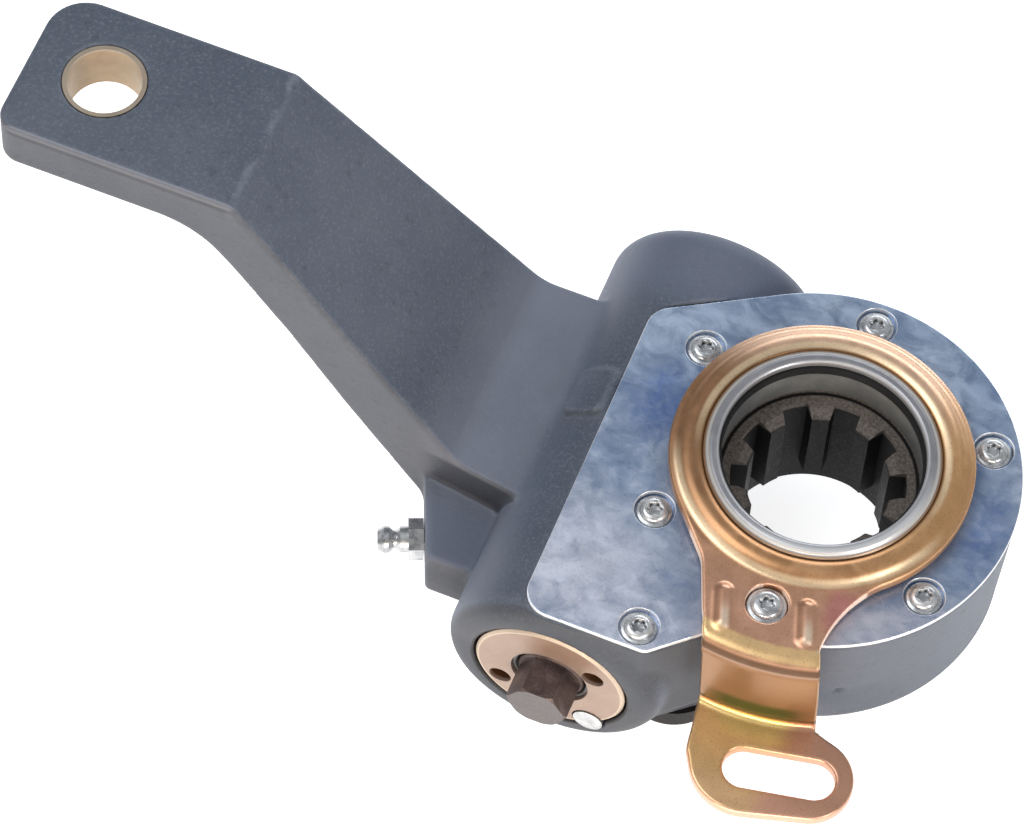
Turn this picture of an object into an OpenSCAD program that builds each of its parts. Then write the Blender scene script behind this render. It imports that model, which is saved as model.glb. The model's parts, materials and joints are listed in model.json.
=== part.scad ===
// Automatic brake slack adjuster with a fixed control arm.
// Lying on its back: bore axis along Z, lever towards -X, hex end of the worm towards -Y.
// Origin: on the bore axis, in the plane of the worm axis.

/* [Lever] */
// Length of the lever, bore axis to eye axis
lever_len = 165; // [150:1:180]
// Half width of the lever at the eye
eye_half_w = 17.8; // [17:0.1:19]
// Thickness of the lever at the eye
eye_t = 12.7; // [12:0.1:15]
// Height of the lever eye's top face
eye_top = 74.2; // [70:0.1:80]
// Height of the lever root's top face
root_top = 14; // [13:0.1:15]
// Clevis pin radius bore of the bush
bush_r = 8; // [7:0.1:8.2]
// Outer radius of the bush
bush_or = 8.95; // [8.8:0.01:9.3]

/* [Housing] */
// Radius of the hub
hub_r = 43.2; // [43:0.1:44.5]
// Height of the hub's back face
hub_back = -13.5; // [-14:0.1:-13.3]
// Outer radius of the worm barrel
barrel_r = 24.3; // [24:0.1:24.8]
// Y of the barrel end with the cap
barrel_y0 = -57.7; // [-58:0.1:-57.5]
// Y of the closed barrel end
barrel_y1 = 48; // [46:0.1:50]
// Edge radius of the casting
edge_r = 5; // [4:0.1:5.5]

/* [Cover] */
// Height of the cover plate's top face
cover_top = 24; // [24:0.1:24.2]
// Thickness of the cover plate
cover_t = 3; // [2.8:0.1:3]
// Thickness of the cover plate's rim
rim_t = 1.1; // [1:0.1:1.3]
// Thickness of the gasket
gasket_t = 0.5; // [0.3:0.1:0.5]
// Radius of the cover screw circle
screw_pcd_r = 37.4; // [37.2:0.1:37.8]
// Radius of a cover screw's shank
screw_r = 2.1; // [2:0.05:2.2]

/* [Spline] */
// Number of spline slots in the bore
spline_n = 10; // [10:1:10]
// Major radius of the spline
spline_major_r = 19.05; // [18.8:0.01:19.1]
// Minor radius of the spline, at the tooth tips
spline_minor_r = 15.43; // [15:0.01:15.6]
// Width of a spline slot
spline_slot_w = 5.94; // [5.6:0.01:6.2]

/* [Worm gear] */
// Distance from the bore axis to the worm axis
worm_c = 38.4; // [38.4:0.1:38.5]
// Teeth on the worm wheel
wheel_n = 24; // [24:1:24]
// Across flats of the hex end
hex_af = 12; // [11:0.1:13]

/* [Control] */
// Outer radius of the arm's ring
arm_ring_r = 32.8; // [32:0.1:33]
// Thickness of the arm's sheet
arm_t = 2.8; // [2.4:0.1:3]
// Length of the slot in the foot
slot_len = 24; // [22:0.1:25]
// Width of the slot in the foot
slot_w = 9.3; // [8.5:0.1:10]
// Teeth on the control ring
ring_n = 60; // [60:1:60]
// Teeth on the control pinion
pinion_n = 18; // [18:1:18]

/* [Hidden] */
$fn = 64;

seat_z = cover_top - cover_t - gasket_t;
rim_z = cover_top - rim_t - 0.05;
arm_z0 = cover_top + 1.2;
arm_z1 = arm_z0 + arm_t;
ring_top = cover_top + 6.1;
wx = -worm_c;

// Worm pair
worm_pr = 9.5;
wheel_pr = worm_c - worm_pr;
worm_lead = 2*PI*wheel_pr/wheel_n;
worm_lead_a = atan(worm_lead/(2*PI*worm_pr));
worm_tip_r = 12;
worm_root_r = 6.6;
wheel_tip_r = 31.2;
wheel_root_r = 25.9;

// Ends of the spline along Z
spline_z0 = -6.6;
spline_z1 = 17.9;

// Control gear train
cs = [-16.5, -38];
cs_d = norm(cs);
ring_pr = cs_d*ring_n/(ring_n + pinion_n);
pinion_pr = cs_d - ring_pr;
ring_m = 2*ring_pr/ring_n;
ring_gear_z = 14;
ring_gear_h = 5.4;
clutch_n = 20;
cworm_pr = 6.5;
clutch_pr = cs[0] - wx - cworm_pr;
cworm_lead = 2*PI*clutch_pr/clutch_n;
cworm_lead_a = atan(cworm_lead/(2*PI*cworm_pr));

// Cover screws: angles on the circle, and the corner screw
screw_a = [151.8, 91.3, 28.7, -34.3, -140.6];
screw_xy = concat([for (a = screw_a) screw_pcd_r*[cos(a), sin(a)]], [[-21.9, -51.1]]);

// Arm sector
arm_a0 = -102;
arm_a1 = -69.2;
arm_drop_ri = 49.3;
arm_foot_top = 4;
slot_a = -76.3;
slot_r = 63.7;
foot_tilt = -2.2;
arm_b = 1.4;
arm_foot_r = arm_drop_ri + arm_t + arm_b;

function unit(v) = v/norm(v);
function arc(c, r, a0, a1, n) = [for (i = [0:n]) c + r*[cos(a0 + (a1 - a0)*i/n), sin(a0 + (a1 - a0)*i/n)]];
function corner(p, c, n, r, k = 7) =
  let (a = unit(p - c), b = unit(n - c), h = acos(a*b)/2, d = r/tan(h),
       m = c + unit(a + b)*r/sin(h), s = c + a*d, e = c + b*d,
       as = atan2(s[1] - m[1], s[0] - m[0]), ae = atan2(e[1] - m[1], e[0] - m[0]),
       da = ((ae - as + 540) % 360) - 180)
  [for (i = [0:k]) m + r*[cos(as + da*i/k), sin(as + da*i/k)]];
function round_poly(p, r) = let (n = len(p))
  [for (i = [0:n - 1]) each (r[i] > 0 ? corner(p[(i + n - 1) % n], p[i], p[(i + 1) % n], r[i]) : [p[i]])];

// Outline of the cover, d mm inside its edge: hub arc, straight to the barrel corner, barrel side, end, diagonal back
function cover_c1(d) = [-47 + d, 22.3 - 0.45*d];
function cover_c2(d) = [-47 + d, -56.2 + d];
function cover_c3(d) = [-18.7 - 0.3*d, -56.2 + d];
function on_hub(d, a) = (hub_r - d)*[cos(a), sin(a)];
function cover_corners(d) = concat(corner(on_hub(d, 121), cover_c1(d), cover_c2(d), 6 - d),
  corner(cover_c1(d), cover_c2(d), cover_c3(d), 6 - d), corner(cover_c2(d), cover_c3(d), on_hub(d, -95.3), 3));
module cover_2d(d) polygon(concat(arc([0, 0], hub_r - d, -95.3, 121, 48), cover_corners(d)));
// The casting under the plate, outside the hub
block_pts = concat([on_hub(1.6, -93.3), [0, 0], on_hub(1.6, 118.5)], cover_corners(0));
block_low_pts = concat([[-1, -30], [-16, 20], [-40, 20]],
  corner([-44, 10], [-44, -54], [-19, -54], 6), corner([-44, -54], [-19, -54], [-5, -42.4], 4), [[-5, -42.4]]);

// Swept strip round Z: loop of [r, z] points along a right-handed helix
module helix(loop, lead, a0, a1, n) {
  k = len(loop);
  pts = [for (i = [0:n]) let (a = a0 + (a1 - a0)*i/n) for (q = loop)
    [q[0]*cos(a), q[0]*sin(a), q[1] + lead*a/360]];
  sides = [for (i = [0:n - 1]) for (j = [0:k - 1]) let (p = k*i + j, q = k*i + (j + 1) % k)
    each [[p, q, q + k], [p, q + k, p + k]]];
  polyhedron(pts, concat([[for (j = [k - 1:-1:0]) j]], sides, [[for (j = [0:k - 1]) k*n + j]]));
}
function wire(r, w, n = 8) = [for (i = [0:n - 1]) [r + w*cos(360*i/n), w*sin(360*i/n)]];
function thread(r0, r1, w0, w1) = [[r0, -w0/2], [r1, -w1/2], [r1, w1/2], [r0, w0/2]];

// Solid of revolution with both edges rounded
module round_cyl(r, h, f0, f1) rotate_extrude($fn = 128) {
  translate([0, f0]) square([r, h - f0 - f1]);
  square([r - max(f0, f1), h]);
  if (f0 > 0) { translate([0, 0]) square([r - f0, h/2]); translate([r - f0, f0]) circle(f0, $fn = 48); }
  if (f1 > 0) { translate([0, h/2]) square([r - f1, h/2]); translate([r - f1, h - f1]) circle(f1, $fn = 48); }
}
module tube(ri, ro, h) rotate_extrude($fn = 96) translate([ri, 0]) square([ro - ri, h]);
// Piece turned about the worm axis, starting at y
module on_worm(y) translate([wx, y, 0]) rotate([-90, 0, 0]) children();
// Gear teeth standing out from a rim, as trapezoid prisms
module spur_teeth(n, r0, r1, t0, t1, h, phase) for (i = [0:n - 1]) rotate(phase + 360*i/n)
  linear_extrude(h) polygon([[r0, -t0/2], [r1, -t1/2], [r1, t1/2], [r0, t0/2]]);

// ---------- housing ----------
lever_plan = round_poly([[-40, -27], [-58, -27], [-73, -24.9], [-82, -23.7], [-100, -21.9], [-115, -19.8], [-128, -eye_half_w - 1],
  [-lever_len - 17.3, -eye_half_w - 1], [-lever_len - 17.3, eye_half_w], [-128, eye_half_w], [-75, 26], [-58, 26], [-40, 26]],
  [0, 4, 20, 30, 40, 40, 30, 5, 9, 30, 20, 0, 0]);
lever_side = round_poly([[-40, root_top], [-73.5, root_top], [-128.3, eye_top], [-lever_len - 20, eye_top],
  [-lever_len - 20, eye_top - eye_t], [-136.8, eye_top - eye_t], [-76.9, -12.3], [-40, -12.3]],
  [0, 7, 2.5, 0, 0, 17, 8, 0]);
nip = [-76.1, -35.6, -3];
nip_a = 203;

module housing_body() {
  // Hub with a little draft
  translate([0, 0, hub_back]) rotate_extrude($fn = 128) {
    polygon([[0, 0], [hub_r - 4.6, 0], [hub_r - 1.1, 3.5], [hub_r - 0.1, rim_z - hub_back], [0, rim_z - hub_back]]);
    translate([hub_r - 4.6, 3.5]) circle(3.5, $fn = 48);
  }
  // Block under the plate between hub and barrel
  translate([0, 0, -9]) linear_extrude(rim_z + 9) polygon(block_pts);
  translate([0, 0, hub_back]) linear_extrude(6) polygon(block_low_pts);
  on_worm(barrel_y0) round_cyl(barrel_r, barrel_y1 - barrel_y0, edge_r, edge_r + 1.5);
  // Lever: side profile crossed with plan profile
  intersection() {
    translate([0, 40, 0]) rotate([90, 0, 0]) linear_extrude(80) polygon(lever_side);
    translate([0, 0, -20]) linear_extrude(120) polygon(lever_plan);
  }
  // Boss of the grease nipple, with its sloped lower face
  intersection() {
    translate([0, 0, -12]) linear_extrude(20) polygon([[-48, -20], [-82.7, -20], [-72.1, -45], [-48, -45]]);
    translate([-46, 0, 0]) rotate([90, 0, -90]) linear_extrude(44)
      polygon([[18, -7.6], [18, 4], [42.8, 4], [44.7, -4], [44.8, -7.6]]);
  }
  // Cast pad on the barrel's flank
  translate([wx, 0, 0]) rotate([0, -35, 0]) translate([-5.2, -5.8, 18]) cube([10.4, 11.8, 7.4]);
}
module housing() color("slategray") difference() {
  housing_body();
  // Seat of the cover plate
  translate([0, 0, seat_z]) linear_extrude(30) cover_2d(0.7);
  translate([0, 0, rim_z]) linear_extrude(30) cover_2d(-0.3);
  translate([-43, -60, rim_z]) cube([28, 10, 20]);
  // Gear chamber and back bore
  translate([0, 0, -9.2]) cylinder(r = 33.2, h = 60, $fn = 128);
  translate([0, 0, -30]) cylinder(r = 27.05, h = 30, $fn = 128);
  // Worm bore in steps
  on_worm(barrel_y0 - 5) cylinder(r = 17.5, h = 12, $fn = 96);
  on_worm(barrel_y0) cylinder(r = 17.1, h = barrel_y0*-1 - 31, $fn = 96);
  on_worm(-40) cylinder(r = 14, h = 58, $fn = 96);
  on_worm(10) cylinder(r = 13, h = 28, $fn = 96);
  // Lock plug hole on the cap's rim
  translate([wx + 9.5, barrel_y0 - 1, -12.8]) rotate([-90, 0, 0]) cylinder(r = 3.7, h = 3.6);
  // Control shaft bore and pinion pocket
  translate([cs[0], cs[1], -20]) cylinder(r = 8.6, h = 36);
  translate([cs[0], cs[1], -40]) cylinder(r = 11.8, h = 40 + hub_back);
  translate([cs[0], cs[1], 12.8]) cylinder(r = 11, h = 20);
  // Threaded holes of the cover
  for (p = screw_xy) translate([p[0], p[1], 15.2]) cylinder(r = screw_r + 0.05, h = 20, $fn = 32);
  // Lever eye
  translate([-lever_len, 0, 40]) cylinder(r = bush_or, h = 50, $fn = 96);
  // Hole of the grease nipple
  translate(nip) rotate([0, 0, nip_a]) rotate([0, 90, 0]) translate([0, 0, -30]) cylinder(r = 2.6, h = 40, $fn = 32);
}
module lever_bush() color("goldenrod") translate([-lever_len, 0, eye_top - eye_t + 0.3])
  difference() {
    cylinder(r = bush_or, h = eye_t - 0.4, $fn = 96);
    translate([0, 0, -1]) cylinder(r = bush_r, h = eye_t + 2, $fn = 96);
  }

// ---------- cover ----------
module cover_plate() color("lightsteelblue") difference() {
  union() {
    translate([0, 0, cover_top - rim_t]) linear_extrude(rim_t) cover_2d(0);
    translate([0, 0, cover_top - cover_t]) linear_extrude(cover_t - 0.5) cover_2d(0.8);
  }
  translate([0, 0, 0]) cylinder(r = 26, h = 60, $fn = 128);
  for (p = screw_xy) translate([p[0], p[1], 0]) {
    cylinder(r = screw_r + 0.4, h = 60, $fn = 32);
    translate([0, 0, cover_top - 1.6]) cylinder(r = 4.4, h = 5, $fn = 48);
  }
}
module cover_gasket() color("dimgray") difference() {
  translate([0, 0, seat_z]) linear_extrude(gasket_t) cover_2d(0.8);
  cylinder(r = 33.6, h = 60, $fn = 128);
  translate([cs[0], cs[1], 0]) cylinder(r = 11.2, h = 60);
  for (p = screw_xy) translate([p[0], p[1], 0]) cylinder(r = screw_r + 0.3, h = 60, $fn = 32);
}
// Low domed head with a six-sided socket, shank downwards; z = 0 under the head
module screw(shank, head_r = 3.9) {
  difference() {
    union() {
      intersection() {
        cylinder(r = head_r, h = 2.2, $fn = 48);
        translate([0, 0, -4.6]) sphere(r = 6.8, $fn = 64);
      }
      translate([0, 0, -shank]) cylinder(r = screw_r, h = shank + 0.5, $fn = 32);
    }
    translate([0, 0, 0.9]) cylinder(r = 1.75, h = 3, $fn = 6);
  }
}
module cover_screws() color("silver") for (p = screw_xy) translate([p[0], p[1], cover_top - 1.6]) screw(7);

// ---------- worm wheel ----------
module worm_wheel() color([0.23, 0.21, 0.20]) difference() {
  union() {
    translate([0, 0, -8.4]) cylinder(r = wheel_root_r, h = 16.8, $fn = 128);
    translate([0, 0, hub_back - 0.3]) cylinder(r = 27, h = 9, $fn = 128);
    translate([0, 0, 7.6]) cylinder(r = 27.2, h = 6.1, $fn = 128);
    cylinder(r = 23.95, h = cover_top + 1.6, $fn = 128);
    for (i = [0:wheel_n - 1]) rotate((i + 0.5)*360/wheel_n) rotate([worm_lead_a, 0, 0])
      rotate([0, 0, 180]) linear_extrude(15.8, center = true)
      polygon([[25, -2.1], [wheel_tip_r, -0.85], [wheel_tip_r, 0.85], [25, 2.1]]);
  }
  // Spline: bore to the tooth tips, slots between, counterbores front and back
  translate([0, 0, -40]) cylinder(r = spline_minor_r, h = 100, $fn = 128);
  intersection() {
    translate([0, 0, -40]) cylinder(r = spline_major_r, h = 100, $fn = 128);
    for (i = [0:spline_n - 1]) rotate(18 + 360*i/spline_n) translate([10, -spline_slot_w/2, -40]) cube([12, spline_slot_w, 100]);
  }
  translate([0, 0, spline_z1]) cylinder(r = 21.9, h = 30, $fn = 128);
  translate([0, 0, spline_z1 - 1.5]) cylinder(r1 = spline_minor_r, r2 = spline_minor_r + 2.2, h = 1.51, $fn = 128);
  translate([0, 0, -40]) cylinder(r = spline_major_r + 0.15, h = 40 + spline_z0, $fn = 128);
  // Groove of the back o-ring
  translate([0, 0, hub_back + 1.1]) difference() {
    cylinder(r = 30, h = 2, $fn = 96);
    translate([0, 0, -1]) cylinder(r = 25.3, h = 4, $fn = 96);
  }
}
module wheel_back_o_ring() color([0.08, 0.08, 0.08]) translate([0, 0, hub_back + 2.1])
  rotate_extrude($fn = 96) translate([26.2, 0]) circle(0.75, $fn = 24);

// ---------- worm and its bearings ----------
module worm_screw() color([0.22, 0.19, 0.17]) {
  // Hex end, its corners turned down at the tip
  intersection() {
    on_worm(barrel_y0 - 8) cylinder(r = hex_af/2/cos(30), h = 12, $fn = 6);
    on_worm(barrel_y0 - 8) rotate_extrude($fn = 64) polygon([[0, 0], [hex_af/2 + 0.2, 0], [hex_af/2 + 1.2, 0.8], [hex_af/2 + 1.2, 12], [0, 12]]);
  }
  on_worm(barrel_y0 + 0.4) rotate_extrude($fn = 96) polygon([[0, 0], [7, 0], [7.5, 0.5], [7.5, 14.3], [0, 14.3]]);
  on_worm(-44.8) cylinder(r = 11.5, h = 1.3);
  on_worm(-46) cylinder(r = 7, h = 28);
  on_worm(-20.2) cylinder(r = 11.6, h = 2.4);
  on_worm(-19) cylinder(r = worm_root_r, h = 37);
  on_worm(17.4) cylinder(r = 6, h = 14);
  on_worm(0) helix(thread(6.2, worm_tip_r, 4.3, 1.8), worm_lead, -760, 760, 150);
}
module bearing_cap() color([0.80, 0.62, 0.50]) difference() {
  on_worm(barrel_y0) rotate_extrude($fn = 96) polygon([[0, 0], [16.5, 0], [17, 0.5], [17, 2.7], [15.7, 2.7], [15.7, 4.5], [17, 4.5], [17, 6.4], [0, 6.4]]);
  on_worm(barrel_y0 - 1) cylinder(r = 8.8, h = 12, $fn = 96);
  for (d = [[-11, -7.2], [9.6, 6.2]]) translate([wx + d[0], barrel_y0 - 1, d[1]]) rotate([-90, 0, 0]) cylinder(r = 2.5, h = 3.6, $fn = 32);
  translate([wx + 9.5, barrel_y0 - 1, -12.8]) rotate([-90, 0, 0]) cylinder(r = 3.7, h = 3.6);
}
module cap_lock_plug() color("silver") translate([wx + 9.5, barrel_y0 - 0.6, -12.8]) rotate([-90, 0, 0])
  intersection() { cylinder(r = 3.35, h = 3.2, $fn = 48); translate([0, 0, 6.6]) sphere(r = 7.1, $fn = 64); }
module cap_o_ring() color([0.08, 0.08, 0.08]) on_worm(barrel_y0 + 3.6) rotate_extrude($fn = 96) translate([16.5, 0]) circle(0.78, $fn = 24);
module shaft_seal() color([0.1, 0.1, 0.1]) on_worm(barrel_y0 + 1) rotate_extrude($fn = 96)
  polygon([[7.56, 0.9], [7.9, 0.3], [8.1, 0.3], [8.1, 0], [8.76, 0], [8.76, 5.2], [7.56, 5.2]]);
module thrust_washer_fixed() color("silver") on_worm(-51.2) tube(7.8, 14.5, 1.6);
module thrust_balls() color("silver") for (i = [0:11]) translate([wx, -48, 0]) rotate([0, 30*i, 0]) translate([11, 0, 0]) sphere(r = 1.45, $fn = 32);
module thrust_washer_turning() color("silver") on_worm(-46.4) tube(7.52, 14.5, 1.5);
module spring_seat() color("gray") on_worm(18.4) difference() {
  union() { tube(6.05, 12.9, 2.2); tube(6.05, 8.6, 4.6); }
}
module main_spring() color([0.35, 0.37, 0.40]) on_worm(29.5) helix(wire(10.7, 1.4), 4.4, -560, 560, 90);

// ---------- one-way clutch ----------
module clutch_wheel() color("darkgray") difference() {
  union() {
    on_worm(cs[1] - 4.6) cylinder(r = clutch_pr - 1.75, h = 9.4, $fn = 96);
    on_worm(cs[1] + 4) cylinder(r = 12, h = 12.6, $fn = 96);
    translate([wx, cs[1], 0]) for (i = [0:clutch_n - 1]) rotate([0, (i + 0.5)*360/clutch_n, 0]) rotate([-cworm_lead_a, 0, 0])
      rotate([-90, 0, 0]) linear_extrude(9, center = true)
      polygon([[clutch_pr - 2.2, -1.45], [clutch_pr + 1.4, -0.6], [clutch_pr + 1.4, 0.6], [clutch_pr - 2.2, 1.45]]);
  }
  on_worm(-60) cylinder(r = 7.05, h = 60);
  on_worm(cs[1] + 4.8) cylinder(r = 10, h = 20);
}
module wrap_spring() color([0.35, 0.37, 0.40]) on_worm(-26.8) helix(wire(8.3, 0.6), 1.7, -1080, 1080, 130);

// ---------- control unit ----------
module control_shaft() color("darkgray") translate([cs[0], cs[1], 0]) {
  translate([0, 0, -12.6]) cylinder(r = 4, h = 32);
  translate([0, 0, -9.5]) cylinder(r = 4.7, h = 19);
  rotate(180) helix(thread(4.4, cworm_pr + 1.5, 2.6, 1.2), cworm_lead, -560, 560, 110);
}
module control_pinion() color("silver") translate([cs[0], cs[1], ring_gear_z]) difference() {
  union() {
    cylinder(r = pinion_pr - 1.25, h = ring_gear_h, $fn = 64);
    spur_teeth(pinion_n, pinion_pr - 1.6, pinion_pr + 0.8, 1.95, 0.7, ring_gear_h, atan2(-cs[1], -cs[0]));
  }
  translate([0, 0, -1]) cylinder(r = 4, h = 12);
}
module control_shaft_plug() color([0.07, 0.07, 0.07]) translate([cs[0], cs[1], 0]) difference() {
  union() {
    translate([0, 0, hub_back - 6.8]) round_cyl(11.6, 6.8, 2, 0);
    translate([0, 0, hub_back - 0.5]) cylinder(r = 8.55, h = 3.7);
  }
  translate([0, 0, -12.9]) cylinder(r = 4.05, h = 10);
}
module control_ring() color("silver") {
  difference() {
    union() {
      rotate_extrude($fn = 128) polygon([[24, ring_gear_z], [29.6, ring_gear_z], [29.6, ring_gear_z + ring_gear_h], [25.5, ring_gear_z + ring_gear_h],
        [25.5, ring_top - 0.9], [25.2, ring_top - 0.6], [24.75, ring_top - 0.6], [24.6, ring_top - 0.45], [24.2, ring_top - 0.12], [23.7, ring_top],
        [22.9, ring_top], [22.5, ring_top - 0.12], [22.2, ring_top - 0.4], [22.1, ring_top - 0.8], [22.1, ring_top - 1.6], [24, ring_top - 1.6]]);
      translate([0, 0, ring_gear_z]) tube(27, ring_pr - 1.25, ring_gear_h);
      translate([0, 0, ring_gear_z]) spur_teeth(ring_n, ring_pr - 1.7, ring_pr + 0.8, 1.95, 0.7, ring_gear_h, atan2(cs[1], cs[0]) + 180/ring_n);
    }
  }
}
module front_seal() color([0.08, 0.08, 0.08]) translate([0, 0, cover_top + 2.1]) tube(21.5, 23.95, 2.3);

// Flat outline of the arm: ring, left tangent with a bend, right fillet
arm_mid = (arm_a0 + arm_a1)/2;
arm_tan = arm_ring_r*[cos(-141.6), sin(-141.6)];
arm_bend = [-15.2, -32.5];
arm_l = [-8.3, -50];
fil_r = 28.2;
fil_c = [43.5, -42.6];
fil_a = atan2(fil_c[1], fil_c[0]);
module arm_flat_2d() {
  circle(arm_ring_r, $fn = 128);
  polygon(concat([[0, 0], arm_tan], corner(arm_tan, arm_bend, arm_l, 9), [arm_l, [4, -52], [17.4, -50], [15.3, -43], [15.3, -42.6]]));
  difference() {
    polygon([[0, 0], [15.3, -42.6], fil_c, (arm_ring_r + 0.1)*[cos(fil_a), sin(fil_a)]]);
    translate(fil_c) circle(fil_r, $fn = 96);
  }
}
module arm_profile() {
  ro = arm_drop_ri + arm_t;
  a = 0.8;
  b = arm_b;
  difference() {
    union() {
      translate([47.5, arm_z0]) square([ro - a - arm_t - 47.5, arm_t]);
      translate([ro - a - arm_t, arm_z1 - a - arm_t]) circle(a + arm_t, $fn = 48);
    }
    translate([ro - a - arm_t, arm_z1 - a - arm_t]) circle(a, $fn = 48);
    translate([40, 0]) square([ro - a - arm_t - 40, arm_z0]);
    translate([40, 0]) square([20, arm_z1 - a - arm_t]);
  }
  translate([arm_drop_ri, arm_foot_top + b]) square([arm_t, arm_z1 - a - arm_t - arm_foot_top - b]);
  difference() {
    translate([arm_drop_ri, arm_foot_top - arm_t]) square([b + arm_t + 0.02, b + arm_t]);
    translate([ro + b, arm_foot_top + b]) circle(b, $fn = 48);
    difference() {
      translate([arm_drop_ri - 1, arm_foot_top - arm_t - 1]) square([b + arm_t + 1, b + arm_t + 1]);
      translate([ro + b, arm_foot_top + b]) circle(b + arm_t, $fn = 48);
    }
  }
}
module foot_2d() {
  difference() {
    union() {
      rotate(slot_a) translate([slot_r, 0]) rotate(foot_tilt) {
        translate([-0.2, 6.2]) circle(9.7, $fn = 64);
        translate([-1.6, -7.2]) circle(12.2, $fn = 64);
        polygon([[-10, -7.2], [10.56, -6.2], [9.47, 6.99], [-10, 6.2]]);
      }
      // Neck from the lower bend into the foot
      polygon(concat([for (i = [0:10]) let (a = -98 + (arm_a1 + 98)*i/10) (arm_foot_r - 0.05)*[cos(a), sin(a)]],
        [[24.5, -56], [0, -66], [-4.4, -63.5]]));
    }
    rotate(slot_a) translate([slot_r, 0]) rotate(foot_tilt) {
      for (y = [-1, 1]) translate([0, y*(slot_len - slot_w)/2]) circle(slot_w/2, $fn = 64);
      translate([-slot_w/2, -(slot_len - slot_w)/2]) square([slot_w, slot_len - slot_w]);
    }
    circle(arm_foot_r - 0.1, $fn = 128);
  }
}
arm_scr = [1.4, -37.6];
module rib(x, y) translate([x, y, arm_z1 - 1]) rotate(18) rotate([90, 0, 0]) intersection() {
  translate([0, -0.3, -5.5]) cylinder(r = 2.3, h = 11, $fn = 48);
  translate([-3, 0, -5.5]) cube([6, 6, 11]);
}
// Slanted edges of the drop
module arm_left_cut() {
  translate([-7.93, -51.5, 25]) rotate([0, 0, 6]) rotate([0, -2.95, 0]) translate([-30, -15, -60]) cube([30, 21, 58.5]);
  translate([0, 0, 23]) linear_extrude(20) polygon([[-10.47, -44.5], [-8.05, -50.63], [-7.85, -53], [-30, -53], [-30, -44.5]]);
}
module arm_right_cut() translate([16.95, -47.78, 28]) rotate([0, 0, 19.2]) rotate([0, -3.4, 0]) translate([0, -15, -21.5]) cube([30, 19.6, 40]);
module control_arm() color([0.78, 0.58, 0.30]) difference() {
  union() {
    translate([0, 0, arm_z0]) linear_extrude(arm_t) intersection() {
      arm_flat_2d();
      circle(48.7, $fn = 128);
    }
    // Raised bead round the silver ring
    rotate_extrude($fn = 128) intersection() {
      translate([27.9, arm_z0 + 0.45]) circle(4.05, $fn = 64);
      translate([25, arm_z0]) square([8, 6]);
    }
    rotate([0, 0, arm_a0]) rotate_extrude(angle = arm_a1 - arm_a0, $fn = 256) arm_profile();
    translate([0, 0, arm_foot_top - arm_t]) linear_extrude(arm_t) foot_2d();
    rib(-6.8, -41.8);
    rib(10.7, -38.9);
  }
  cylinder(r = 25.53, h = 60, $fn = 128);
  // Seat and hole of the arm's screw
  translate([arm_scr[0], arm_scr[1], arm_z0 + 0.85]) cylinder(r = 4.6, h = 60, $fn = 64);
  translate([arm_scr[0], arm_scr[1], 0]) cylinder(r = screw_r + 0.05, h = 60, $fn = 32);
  arm_left_cut();
  arm_right_cut();
}
module arm_screw() color("silver") translate([arm_scr[0], arm_scr[1], arm_z0 + 0.85]) screw(0.8, 4.3);

// ---------- grease nipple ----------
module grease_nipple() color("silver") translate(nip) rotate([0, 0, nip_a]) rotate([0, 90, 0]) difference() {
  union() {
    translate([0, 0, -5]) cylinder(r = 2.55, h = 6, $fn = 32);
    translate([0, 0, 0.2]) cylinder(r = 4.6, h = 3.3, $fn = 6);
    translate([0, 0, 3.3]) cylinder(r = 2.9, h = 2, $fn = 32);
    rotate_extrude($fn = 48) polygon([[0, 5], [2.7, 5.2], [2, 6.2], [2, 6.7], [3, 7.8], [3, 8.8], [2.2, 10.2], [0, 10.2]]);
  }
  translate([0, 0, -6]) cylinder(r = 0.9, h = 20, $fn = 24);
}
module nipple_ball() color("gray") translate(nip) rotate([0, 0, nip_a]) rotate([0, 90, 0]) translate([0, 0, 9.4]) sphere(r = 0.85, $fn = 24);

housing();
lever_bush();
cover_plate();
cover_gasket();
cover_screws();
worm_wheel();
wheel_back_o_ring();
worm_screw();
bearing_cap();
cap_lock_plug();
cap_o_ring();
shaft_seal();
thrust_washer_fixed();
thrust_balls();
thrust_washer_turning();
clutch_wheel();
wrap_spring();
main_spring();
spring_seat();
control_shaft();
control_pinion();
control_shaft_plug();
control_ring();
control_arm();
arm_screw();
front_seal();
grease_nipple();
nipple_ball();
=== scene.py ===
import json
import math
import bmesh
import bpy
import numpy as np
from mathutils import Matrix, Vector

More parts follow.
